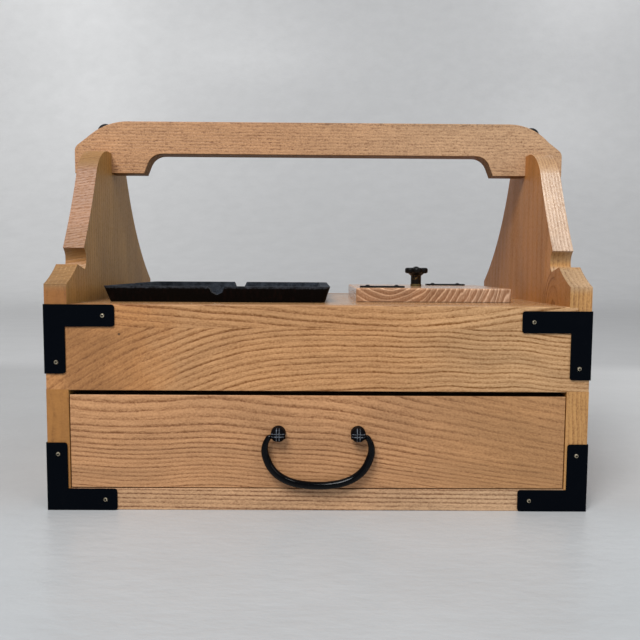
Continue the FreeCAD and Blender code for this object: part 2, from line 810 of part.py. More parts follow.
def assemble():
    """Every node by name, as a list of solids."""
    right = side_board_right()
    nodes = {
        "side_board_left": [mirrored(right, Vector(1, 0, 0))],
        "side_board_right": [right],
        "front_board": [front_board()],
        "back_board": [back_board()],
        "top_board": [top_board()],
        "bottom_board": [bottom_board()],
        "dust_board": [dust_board()],
        "partition_left": [partition(-1)],
        "partition_right": [partition(1)],
        "compartment_wall_front": [cross_wall(-1)],
        "compartment_wall_back": [cross_wall(1)],
        "handle_beam": [handle_beam()],
        "beam_nail_left": [shoulder_nail(-1)],
        "beam_nail_right": [shoulder_nail(1)],
        "bracket_nails_front": face_nails(-1),
        "bracket_nails_back": face_nails(1),
        "bracket_nails_left": end_nails(-1),
        "bracket_nails_right": end_nails(1),
        "drawer_front": [drawer_front()],
        "drawer_side_left": [drawer_side(-1)],
        "drawer_side_right": [drawer_side(1)],
        "drawer_back": [drawer_back()],
        "drawer_bottom": [drawer_bottom()],
        "pull_post_left": [pull_post(-1)],
        "pull_post_right": [pull_post(1)],
        "pull_washer_left": [pull_washer(-1)],
        "pull_washer_right": [pull_washer(1)],
        "pull_bail": [pull_bail()],
        "ashtray": [ashtray()],
        "lid_panel": [lid_panel()],
        "lid_batten_front": [lid_batten(-1)],
        "lid_batten_back": [lid_batten(1)],
        "knob_collar": [knob_collar()],
        "lid_knob": [lid_knob()],
        "lid_plate_left": [lid_plate(-1)],
        "lid_plate_right": [lid_plate(1)],
        "lid_plate_nails": lid_plate_nails(),
    }
    for side, side_name in ((-1, "left"), (1, "right")):
        for face, face_name in ((-1, "front"), (1, "back")):
            for level, level_name in ((-1, "bottom"), (1, "top")):
                name = f"bracket_{face_name}_{side_name}_{level_name}"
                nodes[name] = [corner_bracket(side, face, level)]
    return nodes


def drive_nails(nodes):
    """Open each nail's hole in every piece that it passes through."""
    case = ["side_board_left", "side_board_right", "front_board", "back_board", "bottom_board"]
    case += [name for name in nodes if name.startswith("bracket_") and "nails" not in name]
    driven = {
        "beam_nail_left": ["handle_beam"],
        "beam_nail_right": ["handle_beam"],
        "bracket_nails_front": case,
        "bracket_nails_back": case,
        "bracket_nails_left": case,
        "bracket_nails_right": case,
        "lid_plate_nails": ["lid_panel", "lid_plate_left", "lid_plate_right"],
        "lid_knob": ["lid_panel"],
    }
    for nails, pieces in driven.items():
        for piece in pieces:
            for nail in nodes[nails]:
                if nail.BoundBox.intersect(nodes[piece][0].BoundBox):
                    nodes[piece][0] = nodes[piece][0].cut(nail)


def write_steps(nodes):
    os.makedirs("parts", exist_ok=True)
    for name, solids in nodes.items():
        shape = solids[0] if len(solids) == 1 else Part.makeCompound(solids)
        if not shape.isValid():
            print("invalid shape:", name)
        shape.exportStep(f"parts/{name}.step")
    print("nodes written:", len(nodes))


pieces = assemble()
drive_nails(pieces)
write_steps(pieces)
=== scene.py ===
from math import acos, atan2, cos, hypot, pi, radians, sin, sqrt

import bmesh
import bpy
from mathutils import Matrix, Vector


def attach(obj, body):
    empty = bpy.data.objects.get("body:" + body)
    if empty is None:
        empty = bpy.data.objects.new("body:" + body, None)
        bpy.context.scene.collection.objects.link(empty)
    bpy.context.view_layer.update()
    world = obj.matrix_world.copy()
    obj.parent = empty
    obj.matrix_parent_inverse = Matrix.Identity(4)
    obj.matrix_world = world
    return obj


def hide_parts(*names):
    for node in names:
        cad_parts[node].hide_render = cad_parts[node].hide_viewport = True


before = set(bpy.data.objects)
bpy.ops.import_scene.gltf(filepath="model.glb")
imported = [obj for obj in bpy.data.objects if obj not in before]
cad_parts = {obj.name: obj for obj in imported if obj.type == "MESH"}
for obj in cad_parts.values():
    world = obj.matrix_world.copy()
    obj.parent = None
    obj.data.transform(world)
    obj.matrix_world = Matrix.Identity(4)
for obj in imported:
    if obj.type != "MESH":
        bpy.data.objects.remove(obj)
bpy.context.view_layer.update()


# The room: a pale floor that sweeps up into a wall behind the box, one big soft lamp at the upper
# left in front, weaker ones for the right side and the wall, and even light from all round.
# The camera stands a little above the case's top, close in front of it.
class Wire:
    """One output of a shader node. Arithmetic on it adds Math nodes."""

    def __init__(self, finish, socket):
        self.finish = finish
        self.socket = socket

    def math(self, operation, *others):
        return self.finish.maths(operation, self, *others)

    def __add__(self, other):
        return self.math("ADD", other)

    def __radd__(self, other):
        return self.finish.maths("ADD", other, self)

    def __sub__(self, other):
        return self.math("SUBTRACT", other)

    def __rsub__(self, other):
        return self.finish.maths("SUBTRACT", other, self)

    def __mul__(self, other):
        return self.math("MULTIPLY", other)

    def __rmul__(self, other):
        return self.finish.maths("MULTIPLY", other, self)

    def __truediv__(self, other):
        return self.math("DIVIDE", other)

    def __rtruediv__(self, other):
        return self.finish.maths("DIVIDE", other, self)

    def __abs__(self):
        return self.math("ABSOLUTE")


class Finish:
    """A surface finish. Its nodes are added by type, settings first, then values or links."""

    def __init__(self, name, tree=None):
        if tree is None:
            self.material = bpy.data.materials.new(name)
            self.material.use_nodes = True
            tree = self.material.node_tree
        self.tree = tree
        self.tree.nodes.clear()

    def add(self, kind, settings, sockets, output=0):
        node = self.tree.nodes.new("ShaderNode" + kind)
        for name, value in settings.items():
            setattr(node, name, value)
        for name, value in sockets.items():
            if isinstance(value, Wire):
                self.tree.links.new(value.socket, node.inputs[name])
            else:
                node.inputs[name].default_value = value
        if node.outputs:
            return Wire(self, node.outputs[output])

    def maths(self, operation, *values):
        return self.add("Math", {"operation": operation}, dict(enumerate(values)))

    def place(self):
        """The distance from the box's origin along each axis, in millimetres."""
        metre = 1000.0
        coordinates = self.add("TexCoord", {}, {}, "Object")
        split = self.add("SeparateXYZ", {}, {"Vector": coordinates}).socket.node
        return [Wire(self, split.outputs[axis]) * metre for axis in "XYZ"]

    def vector(self, x, y, z):
        return self.add("CombineXYZ", {}, {"X": x, "Y": y, "Z": z})

    def noise(self, vector, detail=2.0, roughness=0.5):
        """Soft random cloud from 0 to 1, one cell for each unit of the vector."""
        return self.add("TexNoise", {"noise_dimensions": "3D"},
                        {"Vector": vector, "Scale": 1.0, "Detail": detail, "Roughness": roughness})

    def step(self, value, low, high):
        """0 below low and 1 above high, smooth between them; it falls where low is above high."""
        return self.add("MapRange", {"interpolation_type": "SMOOTHSTEP"},
                        {"Value": value, "From Min": low, "From Max": high})

    def blend(self, share, first, second):
        """A colour between two colours."""
        first = first if isinstance(first, Wire) else (*first, 1.0)
        second = second if isinstance(second, Wire) else (*second, 1.0)
        return self.add("Mix", {"data_type": "RGBA"}, {0: share, 6: first, 7: second}, 2)

    def stain(self, share, colour):
        """A tint for filtered: it changes nothing where the share is 0."""
        return self.blend(share, (1.0, 1.0, 1.0), colour)

    def filtered(self, colour, tint):
        """A colour times a tint, which is 1, 1, 1 where the colour stays."""
        return self.add("Mix", {"data_type": "RGBA", "blend_type": "MULTIPLY"},
                        {0: 1.0, 6: colour, 7: tint}, 2)

    def brighten(self, colour, factor):
        """A colour times a value, which is 1 where the colour stays."""
        return self.filtered(colour, self.vector(factor, factor, factor))

    def bump(self, height, depth):
        """A relief: the height from 0 to 1 stands for a depth in metres."""
        return self.add("Bump", {}, {"Height": height, "Strength": 1.0, "Distance": depth})

    def close(self, colour, roughness, normal, level=0.5, metallic=0.0):
        """The material. Its level is the strength of its mirror reflection."""
        shader = self.add("BsdfPrincipled", {}, {
            "Base Color": colour, "Roughness": roughness, "Normal": normal,
            "Specular IOR Level": level, "Metallic": metallic})
        self.add("OutputMaterial", {}, {"Surface": shader})
        return self.material


def build(name, work, finish, body=None, node=None):
    """A smooth mesh object from a bmesh, riding on its body in the node's stead."""
    mesh = bpy.data.meshes.new(name)
    work.to_mesh(mesh)
    work.free()
    mesh.shade_smooth()
    mesh.materials.append(finish)
    piece = bpy.data.objects.new(name, mesh)
    bpy.context.scene.collection.objects.link(piece)
    if body:
        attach(piece, body)
        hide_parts(node)
    return piece


sweep_half_width = 7.0
sweep_front = -6.0
sweep_foot = 2.2
sweep_radius = 1.4
sweep_height = 4.0
sweep_steps = 24
sweep_profile = [(sweep_front, 0.0), (sweep_foot, 0.0)]
for step in range(1, sweep_steps + 1):
    angle = pi / 2 * step / sweep_steps
    sweep_profile.append((sweep_foot + sweep_radius * sin(angle), sweep_radius * (1 - cos(angle))))
sweep_profile.append((sweep_foot + sweep_radius, sweep_height))
work = bmesh.new()
points = [work.verts.new((-sweep_half_width, y, z)) for y, z in sweep_profile]
lines = [work.edges.new(pair) for pair in zip(points, points[1:])]
grown = bmesh.ops.extrude_edge_only(work, edges=lines)["geom"]
bmesh.ops.translate(work, verts=[part for part in grown if isinstance(part, bmesh.types.BMVert)],
                    vec=(2 * sweep_half_width, 0, 0))
bmesh.ops.recalc_face_normals(work, faces=work.faces)

# Painted light: the wall is brighter at the left, the floor darker at the left and under the box.
wall_left, wall_right = (0.88, 0.882, 0.885), (0.785, 0.788, 0.795)
floor_left, floor_right = (0.43, 0.432, 0.435), (0.68, 0.682, 0.685)
floor_front_light = (1.09, 1.135, 1.165)
paint = Finish("studio_paint")
x, y, z = paint.place()
rolled = paint.noise(paint.vector(x / 90, y / 60, z / 60), 4.0, 0.6)
brushed = paint.noise(paint.vector(x / 15, y / 6, z / 6), 3.0, 0.6)
wall = paint.blend(paint.step(x, -1600, 300), wall_left, wall_right)
# Painted light: brighter further back and higher up.
rising_light = 0.67 + 0.25 * paint.step(y, 1500, 2900) + 0.08 * paint.step(z, 100, 900)
wall = paint.brighten(wall, rising_light)
ground = paint.blend(paint.step(x, 110, 560), floor_left, floor_right)
# Painted light: the floor lighter in front of the box.
ground = paint.filtered(ground, paint.stain(paint.step(y, -70, -150), floor_front_light))
tone = paint.blend(paint.step(y, 440, 560), ground, wall)
tone = paint.brighten(tone, 0.905 + rolled * 0.14 + brushed * 0.05)
relief = paint.bump(rolled * 0.8 + brushed * 0.2, 0.0015)
backdrop = build("backdrop", work, paint.close(tone, 0.34, relief, level=0.4))


def lamp(name, place, aim, size, power):
    """A round lamp, turned to its aim and left out of the picture."""
    light = bpy.data.lights.new(name, "AREA")
    light.shape = "DISK"
    light.size = size
    light.energy = power
    holder = bpy.data.objects.new(name, light)
    holder.location = place
    holder.rotation_euler = (Vector(place) - Vector(aim)).to_track_quat("Z", "Y").to_euler()
    holder.visible_camera = False
    bpy.context.scene.collection.objects.link(holder)


lamp("key_lamp", place=(-0.9, -2.0, 2.5), aim=(0, 0, 0.1), size=1.6, power=100.0)
lamp("fill_lamp", place=(2.2, -1.6, 1.2), aim=(0, 0, 0.1), size=1.6, power=8.0)
lamp("edge_lamp", place=(0.90, -1.10, 1.94), aim=(0.16, -0.05, 0.19), size=0.5, power=6.0)
lamp("wall_lamp_left", place=(-1.9, 1.9, 2.3), aim=(-1.9, 3.6, 1.7), size=0.8, power=7.5)
lamp("wall_lamp_right", place=(2.1, 2.1, 2.5), aim=(2.1, 3.6, 1.9), size=0.8, power=7.0)

world = bpy.data.worlds.new("room")
world.use_nodes = True
bpy.context.scene.world = world
room = Finish("room", world.node_tree)
sky_lighting, sky_seen = (0.27, 0.275, 0.28), (0.55, 0.555, 0.56)
sky = room.blend(room.add("LightPath", {}, {}, "Is Camera Ray"), sky_lighting, sky_seen)
background = room.add("Background", {}, {"Color": sky, "Strength": 1.0})
room.add("OutputWorld", {}, {"Surface": background})

camera_place = (-0.00276, -0.50423, 0.14874)
turn, look_down, roll = -0.0085, 0.0771, 0.0063
lens = bpy.data.cameras.new("camera")
lens.lens = 37.547
lens.clip_start = 0.02
lens.clip_end = 60.0
camera = bpy.data.objects.new("camera", lens)
turned = (Matrix.Rotation(turn, 4, "Z") @ Matrix.Rotation(pi / 2 - look_down, 4, "X")
          @ Matrix.Rotation(roll, 4, "Z"))
camera.matrix_world = Matrix.Translation(camera_place) @ turned
bpy.context.scene.collection.objects.link(camera)
bpy.context.scene.camera = camera
bpy.context.scene.view_settings.view_transform = "Standard"


# The bottom board: one board of ring-porous wood with straight grain, planed and oiled. Its ends
# are housed in the side boards, and its front edge shows as the rail under the drawer.
def softened(name, body, finish, width, segments=3):
    """A merged copy of a CAD node with its arrises rounded over, as a scraper leaves them."""
    same_place = 2e-6
    flat_angle, arris_angle, crease_angle = radians(1), radians(28), radians(40)
    smallest_face = 5e-6
    work = bmesh.new()
    work.from_mesh(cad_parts[name].data)
    bmesh.ops.remove_doubles(work, verts=work.verts, dist=same_place)
    bmesh.ops.dissolve_limit(work, angle_limit=flat_angle, verts=work.verts, edges=work.edges)
    arrises = [edge for edge in work.edges if len(edge.link_faces) == 2
               and edge.calc_face_angle() > arris_angle
               and min(face.calc_area() for face in edge.link_faces) > smallest_face]
    bmesh.ops.bevel(work, geom=arrises, offset=width, offset_type="OFFSET", segments=segments,
                    profile=0.5, affect="EDGES", material=-1, clamp_overlap=True)
    piece = build(name + "_eased", work, finish, body, name)
    normals = piece.data.attributes.get("custom_normal")
    if normals:
        piece.data.attributes.remove(normals)
    piece.data.set_sharp_from_angle(angle=crease_angle)
    weighted = piece.modifiers.new("even_shading", "WEIGHTED_NORMAL")
    weighted.keep_sharp = True
    return piece


def timber(name, figure, pale, deep, line=1.0, pores=0.5, fleck=1.15, cloud=1.0, waver=0.4,
           late_wood=0.06, gloss=0.42, level=0.42, band_end=0.62, tint=None, seed=0.0):
    """Oiled ring-porous wood, pale between its rings and deep in them.

    The figure turns a place into the count of rings there, the way along the grain, the way
    across both, the rings' spacing in millimetres, and how loud their lines are.
    """
    wood = Finish(name)
    x, y, z = wood.place()
    rings, along, depth, spacing, loud = figure(wood, x, y, z)
    drift = wood.noise(wood.vector(along / 50 + seed, rings / 5, depth / 30), 1.0)
    tremble = wood.noise(wood.vector(along / 9, rings * 0.9 + seed, depth / 9), 3.0)
    rings = rings + (drift - 0.5) * waver * 2.0 + (tremble - 0.5) * waver * 0.5
    across = rings * spacing

    # Each ring opens with a dark porous band, which is stronger in some rings and fades along them.
    share = rings.math("FRACT")
    number = rings.math("FLOOR")
    strength = wood.add("TexWhiteNoise", {"noise_dimensions": "1D"}, {"W": number + seed})
    fading = wood.noise(wood.vector(along / 35 + seed, number * 3.7, 0.0), 1.0)
    early = wood.step(share, 0.0, 0.13) * wood.step(share, band_end, 0.16)
    late = wood.step(share, 0.55, 1.0)
    between = wood.step(share, 0.35, 0.5) * wood.step(share, 0.72, 0.55) * (0.9 - strength)
    band = early * (0.45 + 0.55 * strength) * (0.5 + fading)

    # Pores show as short dashes, and specks, fibres and soft clouds run over all of it.
    pore = wood.noise(wood.vector(along / 2.4 + seed, across * 1.15, depth * 1.15), 2.0, 0.6)
    dash = wood.step(pore, 0.47, 0.66)
    speck = wood.noise(wood.vector(along / 1.5, across + seed, depth), 2.0, 0.7)
    fibre = wood.noise(wood.vector(along / 14, across * 0.75 + seed, depth * 0.75), 3.0, 0.65)
    shading = wood.noise(wood.vector(along / 60 + seed, across / 18, depth / 18), 2.0)
    lines = (band * (0.72 + 0.28 * dash) + between * 0.22) * line * loud + late * late_wood
    dashes = dash * (0.20 + 0.30 * band) * pores * (0.4 + 0.6 * loud)
    dark = lines + dashes + (speck - 0.5) * 1.15 * fleck + (fibre - 0.5) * 0.85 * fleck
    colour = wood.blend(wood.step(dark, -0.42, 1.12), pale, deep)
    colour = wood.brighten(colour, 1.0 + (shading - 0.5) * 0.62 * cloud)
    if tint:
        colour = wood.filtered(colour, tint(wood, x, y, z))
    relief = 0.6 - band * 0.35 - dash * 0.25 * (0.3 + band) + (speck - 0.5) * 0.4
    roughness = gloss + 0.14 * dash + 0.10 * band
    return wood.close(colour, roughness, wood.bump(relief, 0.00018), level=level)


def rail_figure(wood, x, y, z):
    spacing = 2.7
    rings = (z + 0.012 * x) / spacing + (y + 103) * 0.12
    return rings, x, y + 0.3 * z, spacing, 1.0


def paler_right(wood, x, y, z):
    """The right end is less oiled: paler and a little pink."""
    return wood.stain(wood.step(x, 0, 130), (1.06, 1.15, 1.24))


rail_wood = timber("rail_wood", rail_figure, (0.58, 0.345, 0.185), (0.17, 0.07, 0.026),
                   waver=0.2, tint=paler_right, seed=3.0)
softened("bottom_board", "case", rail_wood, width=0.0005)


# The side boards: each one runs from the floor to the beam, with its grain upright. The left one
# is cut across the rings and the right one along them. Their scroll-cut edges are scraped smooth.
def left_face_figure(wood, x, y, z):
    spacing = 4.5
    return (y - 0.2 * x) / spacing + z / 240, z, x, spacing, 1.0


def right_face_figure(wood, x, y, z):
    """Straight grain with an arch over the foot, where the rings are cut along."""
    spacing = 3.0
    off_middle = (y + 69) / 15
    above_foot = (z - 124) / 21
    arch = (1.15 - off_middle * off_middle - above_foot * above_foot).math("MAXIMUM", 0.0)
    sweep = ((y - 12) * (y - 12) + 300).math("SQRT")
    loud = 0.20 + wood.step(y, -20, -70) * 0.40 + wood.step(arch, 0.0, 0.2) * 1.5
    return x / spacing + arch * 2.4 + sweep / 9 + z / 260, z, y, spacing, loud


def left_edge_figure(wood, x, y, z):
    """Rings that slant across the edge, and stand upright in the foot."""
    spacing = 1.9
    low = wood.step(z, 141, 137)
    slanting = (z - 0.17 * x) / spacing
    rings = slanting + (x / 5.2 + z / 300 - slanting) * low
    return rings, x + (z - x) * low, y, spacing, 1.0


def right_face_tint(wood, x, y, z):
    """A pale lick of grain that leans back from the arch."""
    lean = (y + 62 + (z - 150) * 0.22) / 9
    tall = (z - 158) / 26
    lick = wood.step(lean * lean + tall * tall, 1.0, 0.1)
    return wood.stain(lick, (1.28, 1.34, 1.48))


def foot_glints_and_shade(wood, x, y, z):
    """The foot's bevel is paler, with painted glints, and the cove above has painted shade."""
    bevel = wood.step(z, 133, 139) * wood.step(z, 152, 148)
    sparkle = wood.noise(wood.vector(x / 0.7, y / 0.9, z / 0.9), 2.0)
    # Painted glints: bright specks in streaks along the bevel.
    glint = wood.step((x * 2.3).math("SINE"), 0.30, 0.8) * wood.step(sparkle, 0.48, 0.62) * bevel
    bevel_and_glints = wood.stain(bevel, (0.95, 1.17, 1.85))
    bevel_and_glints = wood.filtered(bevel_and_glints, wood.stain(glint, (1.45, 1.55, 1.80)))
    # Painted shade in the cove under the lip.
    return wood.filtered(bevel_and_glints, wood.stain(wood.step(z, 151, 155), (0.78, 0.86, 1.04)))


def left_foot_glints_and_shade(wood, x, y, z):
    """The left foot as the right one, but redder on its upright face."""
    front = wood.step(z, 125, 128) * wood.step(z, 139, 135)
    redder = wood.stain(front, (0.92, 0.85, 0.91))
    return wood.filtered(foot_glints_and_shade(wood, x, y, z), redder)


def left_sweep_tone_and_shade(wood, x, y, z):
    """Dull at the foot, painted shade under the beam, pale where the edge turns over the top."""
    below = wood.stain(wood.step(z, 180, 170), (0.87, 0.88, 0.83))
    # Painted shade: darker just under the beam.
    under = wood.filtered(below, wood.stain(wood.step(z, 203, 211), (0.86, 0.82, 0.71)))
    return wood.filtered(under, wood.stain(wood.step(z, 214, 221), (1.28, 1.58, 1.66)))


def sweep_sheen_fade(wood, x, y, z):
    """The painted sheen fades to golden at the top of the upright and to a duller tone at the foot.
    """
    top = wood.stain(wood.step(z, 210, 224), (0.95, 0.85, 0.68))
    return wood.filtered(top, wood.stain(wood.step(z, 176, 166), (0.88, 0.91, 0.96)))


def right_edge_figure(wood, x, y, z):
    spacing = 2.7
    sway = (z / 9.0).math("SINE") * 0.16
    foot = wood.step(z, 124, 127) * wood.step(z, 152, 148)
    return x / spacing + sway + z / 110, z, y, spacing, 0.28 + 0.22 * foot


def polished_edge_figure(wood, x, y, z):
    spacing = 2.1
    sway = (z / 8.0).math("SINE") * 0.12
    loud = 0.45 + 0.35 * wood.step(z, 215, 225)
    return x / spacing + sway + z / 60, z, y, spacing, loud


def second_wood(piece, wood, chosen):
    """Give the faces that a test picks a wood of their own."""
    piece.data.materials.append(wood)
    for face in piece.data.polygons:
        if chosen(face):
            face.material_index = len(piece.data.materials) - 1


def narrow(face):
    """A face of the board's scroll-cut outline, not one of its two broad sides."""
    return abs(face.normal.x) < 0.7


def narrow_above(face):
    """An edge face of the upright, above the cove and in front."""
    return narrow(face) and face.center.z > 0.1605 and face.center.y < 0.0


left_face_wood = timber("left_face_wood", left_face_figure, (0.52, 0.285, 0.085),
                        (0.24, 0.12, 0.03), line=0.4, fleck=0.5, waver=0.2, level=0.25, seed=11.0)
left_edge_wood = timber("left_edge_wood", left_edge_figure, (0.36, 0.158, 0.038),
                        (0.19, 0.075, 0.015), line=0.38, fleck=0.8, waver=0.9, tint=left_foot_glints_and_shade,
                        seed=13.0)
left_sweep_wood = timber("left_sweep_wood", left_edge_figure, (0.345, 0.155, 0.062),
                         (0.17, 0.065, 0.024), line=0.5, fleck=1.0, waver=1.1, tint=left_sweep_tone_and_shade,
                         seed=14.0)
right_face_wood = timber("right_face_wood", right_face_figure, (0.47, 0.197, 0.050),
                         (0.20, 0.066, 0.012), line=0.42, fleck=0.6, waver=0.2, level=0.25,
                         tint=right_face_tint, seed=17.0)
right_edge_wood = timber("right_edge_wood", right_edge_figure, (0.48, 0.25, 0.085),
                         (0.20, 0.08, 0.02), fleck=1.6, waver=0.3, late_wood=-0.25, gloss=0.3,
                         tint=foot_glints_and_shade, seed=19.0)
# The right sweep's pale, whitish colour is partly painted sheen, where the edge catches the light.
right_sweep_sheen_wood = timber("right_sweep_sheen_wood", polished_edge_figure, (0.60, 0.41, 0.268),
                          (0.22, 0.09, 0.035), fleck=1.3, waver=0.5, late_wood=-0.3, gloss=0.24,
                          level=0.6, tint=sweep_sheen_fade, seed=20.0)
left_outer_wood = timber("left_outer_wood", left_face_figure, (0.56, 0.30, 0.12),
                         (0.20, 0.075, 0.018), line=0.6, fleck=0.8, waver=0.25, seed=21.0)
right_outer_wood = timber("right_outer_wood", right_face_figure, (0.56, 0.285, 0.115),
                          (0.20, 0.075, 0.018), line=0.6, fleck=0.8, waver=0.25, seed=22.0)
left_board = softened("side_board_left", "case", left_face_wood, width=0.0006)
second_wood(left_board, left_edge_wood, narrow)
second_wood(left_board, left_sweep_wood, narrow_above)
second_wood(left_board, left_outer_wood, lambda face: face.normal.x < -0.7)
right_board = softened("side_board_right", "case", right_face_wood, width=0.0006)
second_wood(right_board, right_edge_wood, narrow)
second_wood(right_board, right_sweep_sheen_wood, narrow_above)
second_wood(right_board, right_outer_wood, lambda face: face.normal.x > 0.7)


# The back board: a plain board with level grain, glued over the back edges of the side boards
# and finished like the front.
def back_figure(wood, x, y, z):
    spacing = 4.6
    rise = ((x + 60) * (x + 60) + 3600).math("SQRT")
    rings = (z + rise * 0.10) / spacing - (y - 103) * 0.14
    return rings, x, y, spacing, 1.0


back_wood = timber("back_wood", back_figure, (0.56, 0.29, 0.12), (0.15, 0.055, 0.016), seed=23.0)
softened("back_board", "case", back_wood, width=0.0006)


# The front board over the drawer, glued over the front edges of the side boards. It is the show
# board: two flames of grain meet in a long level seam under its top edge, and below the seam the
# rings sweep up from the lower left and run out level.
def front_figure(wood, x, y, z):
    """The rings over the seam and under it, each with its own sweep."""
    spacing = 3.6
    below = 112.6 - z
    depth = below.math("MAXIMUM", 0.0)
    reach = ((x + 48) * (x + 48) + 2025).math("SQRT")
    climb = (x - reach) * 0.21 * (1.0 + 0.006 * depth)
    past = (x - 95).math("MAXIMUM", 0.0)
    swell = ((x - 20) / 7.2).math("SINE") * wood.step(x, 0, 60) * 0.5
    under = 30.0 + (z - 88.0 - climb + past * past * 0.0007 - swell) / (3.1 - 0.004 * x)
    off = x - 65.0
    over = (z - 0.045 * off - 0.125 * (off * off + 625).math("SQRT")) / 4.1
    seam = wood.maths("GREATER_THAN", below, 0.0)
    rings = over + (under - over) * seam - (y + 103) * 0.10
    loud = 1.0 - 0.62 * wood.step(x + 0.6 * (z - 100), -70, -125) * seam
    return rings, x, y, spacing, loud


def front_tint(wood, x, y, z):
    """Orange tan at the far left, paler and pink at the right, a pin knot, a chipped lower edge."""
    knot_x, knot_z = -120.4, 108.5
    cloud = (wood.noise(wood.vector(x / 12, 0.0, z / 12), 2.0) - 0.5) * 40
    tan = wood.stain(wood.step(x + cloud, -78, -112), (0.95, 0.85, 0.71))
    browner = wood.step(x + 0.5 * (z - 88) + cloud, -100, -138) * wood.step(x, -158, -150)
    tan = wood.filtered(tan, wood.stain(browner, (0.75, 0.73, 0.70)))
    pink = wood.filtered(tan, wood.stain(wood.step(x, 20, 125), (1.03, 1.16, 1.30)))
    pin = ((x - knot_x) * (x - knot_x) + (z - knot_z) * (z - knot_z)).math("SQRT")
    torn = wood.noise(wood.vector(x / 3.1, 0.0, 0.0), 2.0)
    chips = wood.step(torn, 0.60, 0.66) * wood.step(z, 75.2, 74.6) * wood.step(x, -55, -80)
    knot = 1.0 - 0.75 * wood.step(pin, 1.0, 0.4)
    return wood.brighten(pink, knot * (1.0 + 0.5 * chips))


def plain_along_x(wood, x, y, z):
    spacing = 5.5
    return (y + 0.35 * z) / spacing + z * 0.16, x, z, spacing, 1.0


front_wood = timber("front_wood", front_figure, (0.548, 0.290, 0.127), (0.178, 0.060, 0.007),
                    waver=0.32, tint=front_tint, seed=31.0)
# The front board's underside, over the gap above the drawer, is near-black: painted shade in the
# gap.
gap_shade_wood = timber("gap_shade_wood", plain_along_x, (0.035, 0.018, 0.009), (0.012, 0.006, 0.003),
                    level=0.1, seed=33.0)
front = softened("front_board", "case", front_wood, width=0.0005)
second_wood(front, gap_shade_wood, lambda face: face.normal.z < -0.9)


# The dust board, the two partitions and the two cross walls: thin plain boards inside the case,
# planed and left without oil. The dust board is housed in the side boards, and the others stand
# on it under the top board.
def plain_along_y(wood, x, y, z):
    spacing = 5.0
    return (z + 0.3 * x) / spacing + x * 0.14, y, x, spacing, 1.0


inner_wood_x = timber("inner_wood_level", plain_along_x, (0.60, 0.38, 0.21), (0.27, 0.135, 0.06),
                      line=0.7, fleck=0.7, gloss=0.55, seed=41.0)
inner_wood_y = timber("inner_wood_deep", plain_along_y, (0.60, 0.38, 0.21), (0.27, 0.135, 0.06),
                      line=0.7, fleck=0.7, gloss=0.55, seed=43.0)
softened("dust_board", "case", inner_wood_x, width=0.0003)
softened("partition_left", "case", inner_wood_y, width=0.0003)
softened("partition_right", "case", inner_wood_y, width=0.0003)
softened("compartment_wall_front", "case", inner_wood_x, width=0.0003)
softened("compartment_wall_back", "case", inner_wood_x, width=0.0003)


# The top board: level grain, with the ashtray's square opening and the compartment's hatch.
# It is housed in the side boards and lies flush with the front board.
def top_figure(wood, x, y, z):
    spacing = 5.2
    rings = (y + 0.03 * x) / spacing + (126.4 - z) * 0.16
    return rings, x, z, spacing, 1.0


top_wood = timber("top_wood", top_figure, (0.54, 0.30, 0.13), (0.19, 0.08, 0.027), line=0.8,
                  gloss=0.16, level=0.5, seed=51.0)
softened("top_board", "case", top_wood, width=0.0004)


# The carrying beam: a heavy bar with shoulders that straddle the uprights, sawn from straight
# stock that shows rows of short open pores, and worn smooth by the hand.
def beam_figure(wood, x, y, z):
    spacing = 2.3
    return (z + 0.006 * x) / spacing + (y + 8) * 0.1, x * 1.35, y, spacing, 1.0


def beam_tint(wood, x, y, z):
    """Hand grime in specks along the beam's upper edge, and a pinker, greyer right end."""
    soot = wood.noise(wood.vector(x / 1.6, y, z / 0.9), 3.0, 0.65)
    upper = wood.step(z, 250.5, 254.2) * wood.step(x, -70, 40) * wood.step(x, 150, 120)
    pink = wood.blend(wood.step(x, -60, 130), (0.915, 0.88, 0.86), (0.94, 1.05, 1.20))
    return wood.brighten(pink, 1.0 - 0.45 * wood.step(soot, 0.5, 0.62) * upper)


beam_wood = timber("beam_wood", beam_figure, (0.60, 0.335, 0.165), (0.165, 0.060, 0.018),
                   line=0.25, pores=1.12, cloud=0.6, waver=0.3, tint=beam_tint, seed=61.0)
# The beam's downward faces take a darker wood of their own: painted shade under the beam.
beam_underside_shade = timber("beam_underside_shade_wood", beam_figure, (0.26, 0.12, 0.03), (0.10, 0.04, 0.010),
                   line=0.3, pores=0.8, level=0.06, seed=63.0)
beam = softened("handle_beam", "case", beam_wood, width=0.0009)
second_wood(beam, beam_underside_shade, lambda face: face.normal.z < -0.35)


# The two dome nails: forged iron heads on plain shanks, driven through the shoulders of the beam
# into the uprights, and blackened.
def iron(name, colour, roughness, level, wear=0.0):
    """Blackened iron: a near-black skin with fine hammer marks and a few rubbed places."""
    metal = Finish(name)
    x, y, z = metal.place()
    skin = metal.noise(metal.vector(x / 9, y / 9, z / 9), 3.0)
    grit = metal.noise(metal.vector(x * 2.2, y * 2.2, z * 2.2), 2.0)
    wear_and_highlight = metal.step(skin + (grit - 0.5) * 0.4, 0.62, 0.85) * wear
    bare = tuple(0.05 + part for part in colour)
    shade = metal.blend(wear_and_highlight, colour, bare)
    relief = metal.bump(skin * 0.7 + grit * 0.3, 0.00012)
    return metal.close(shade, roughness + (skin - 0.5) * 0.14, relief, level=level)


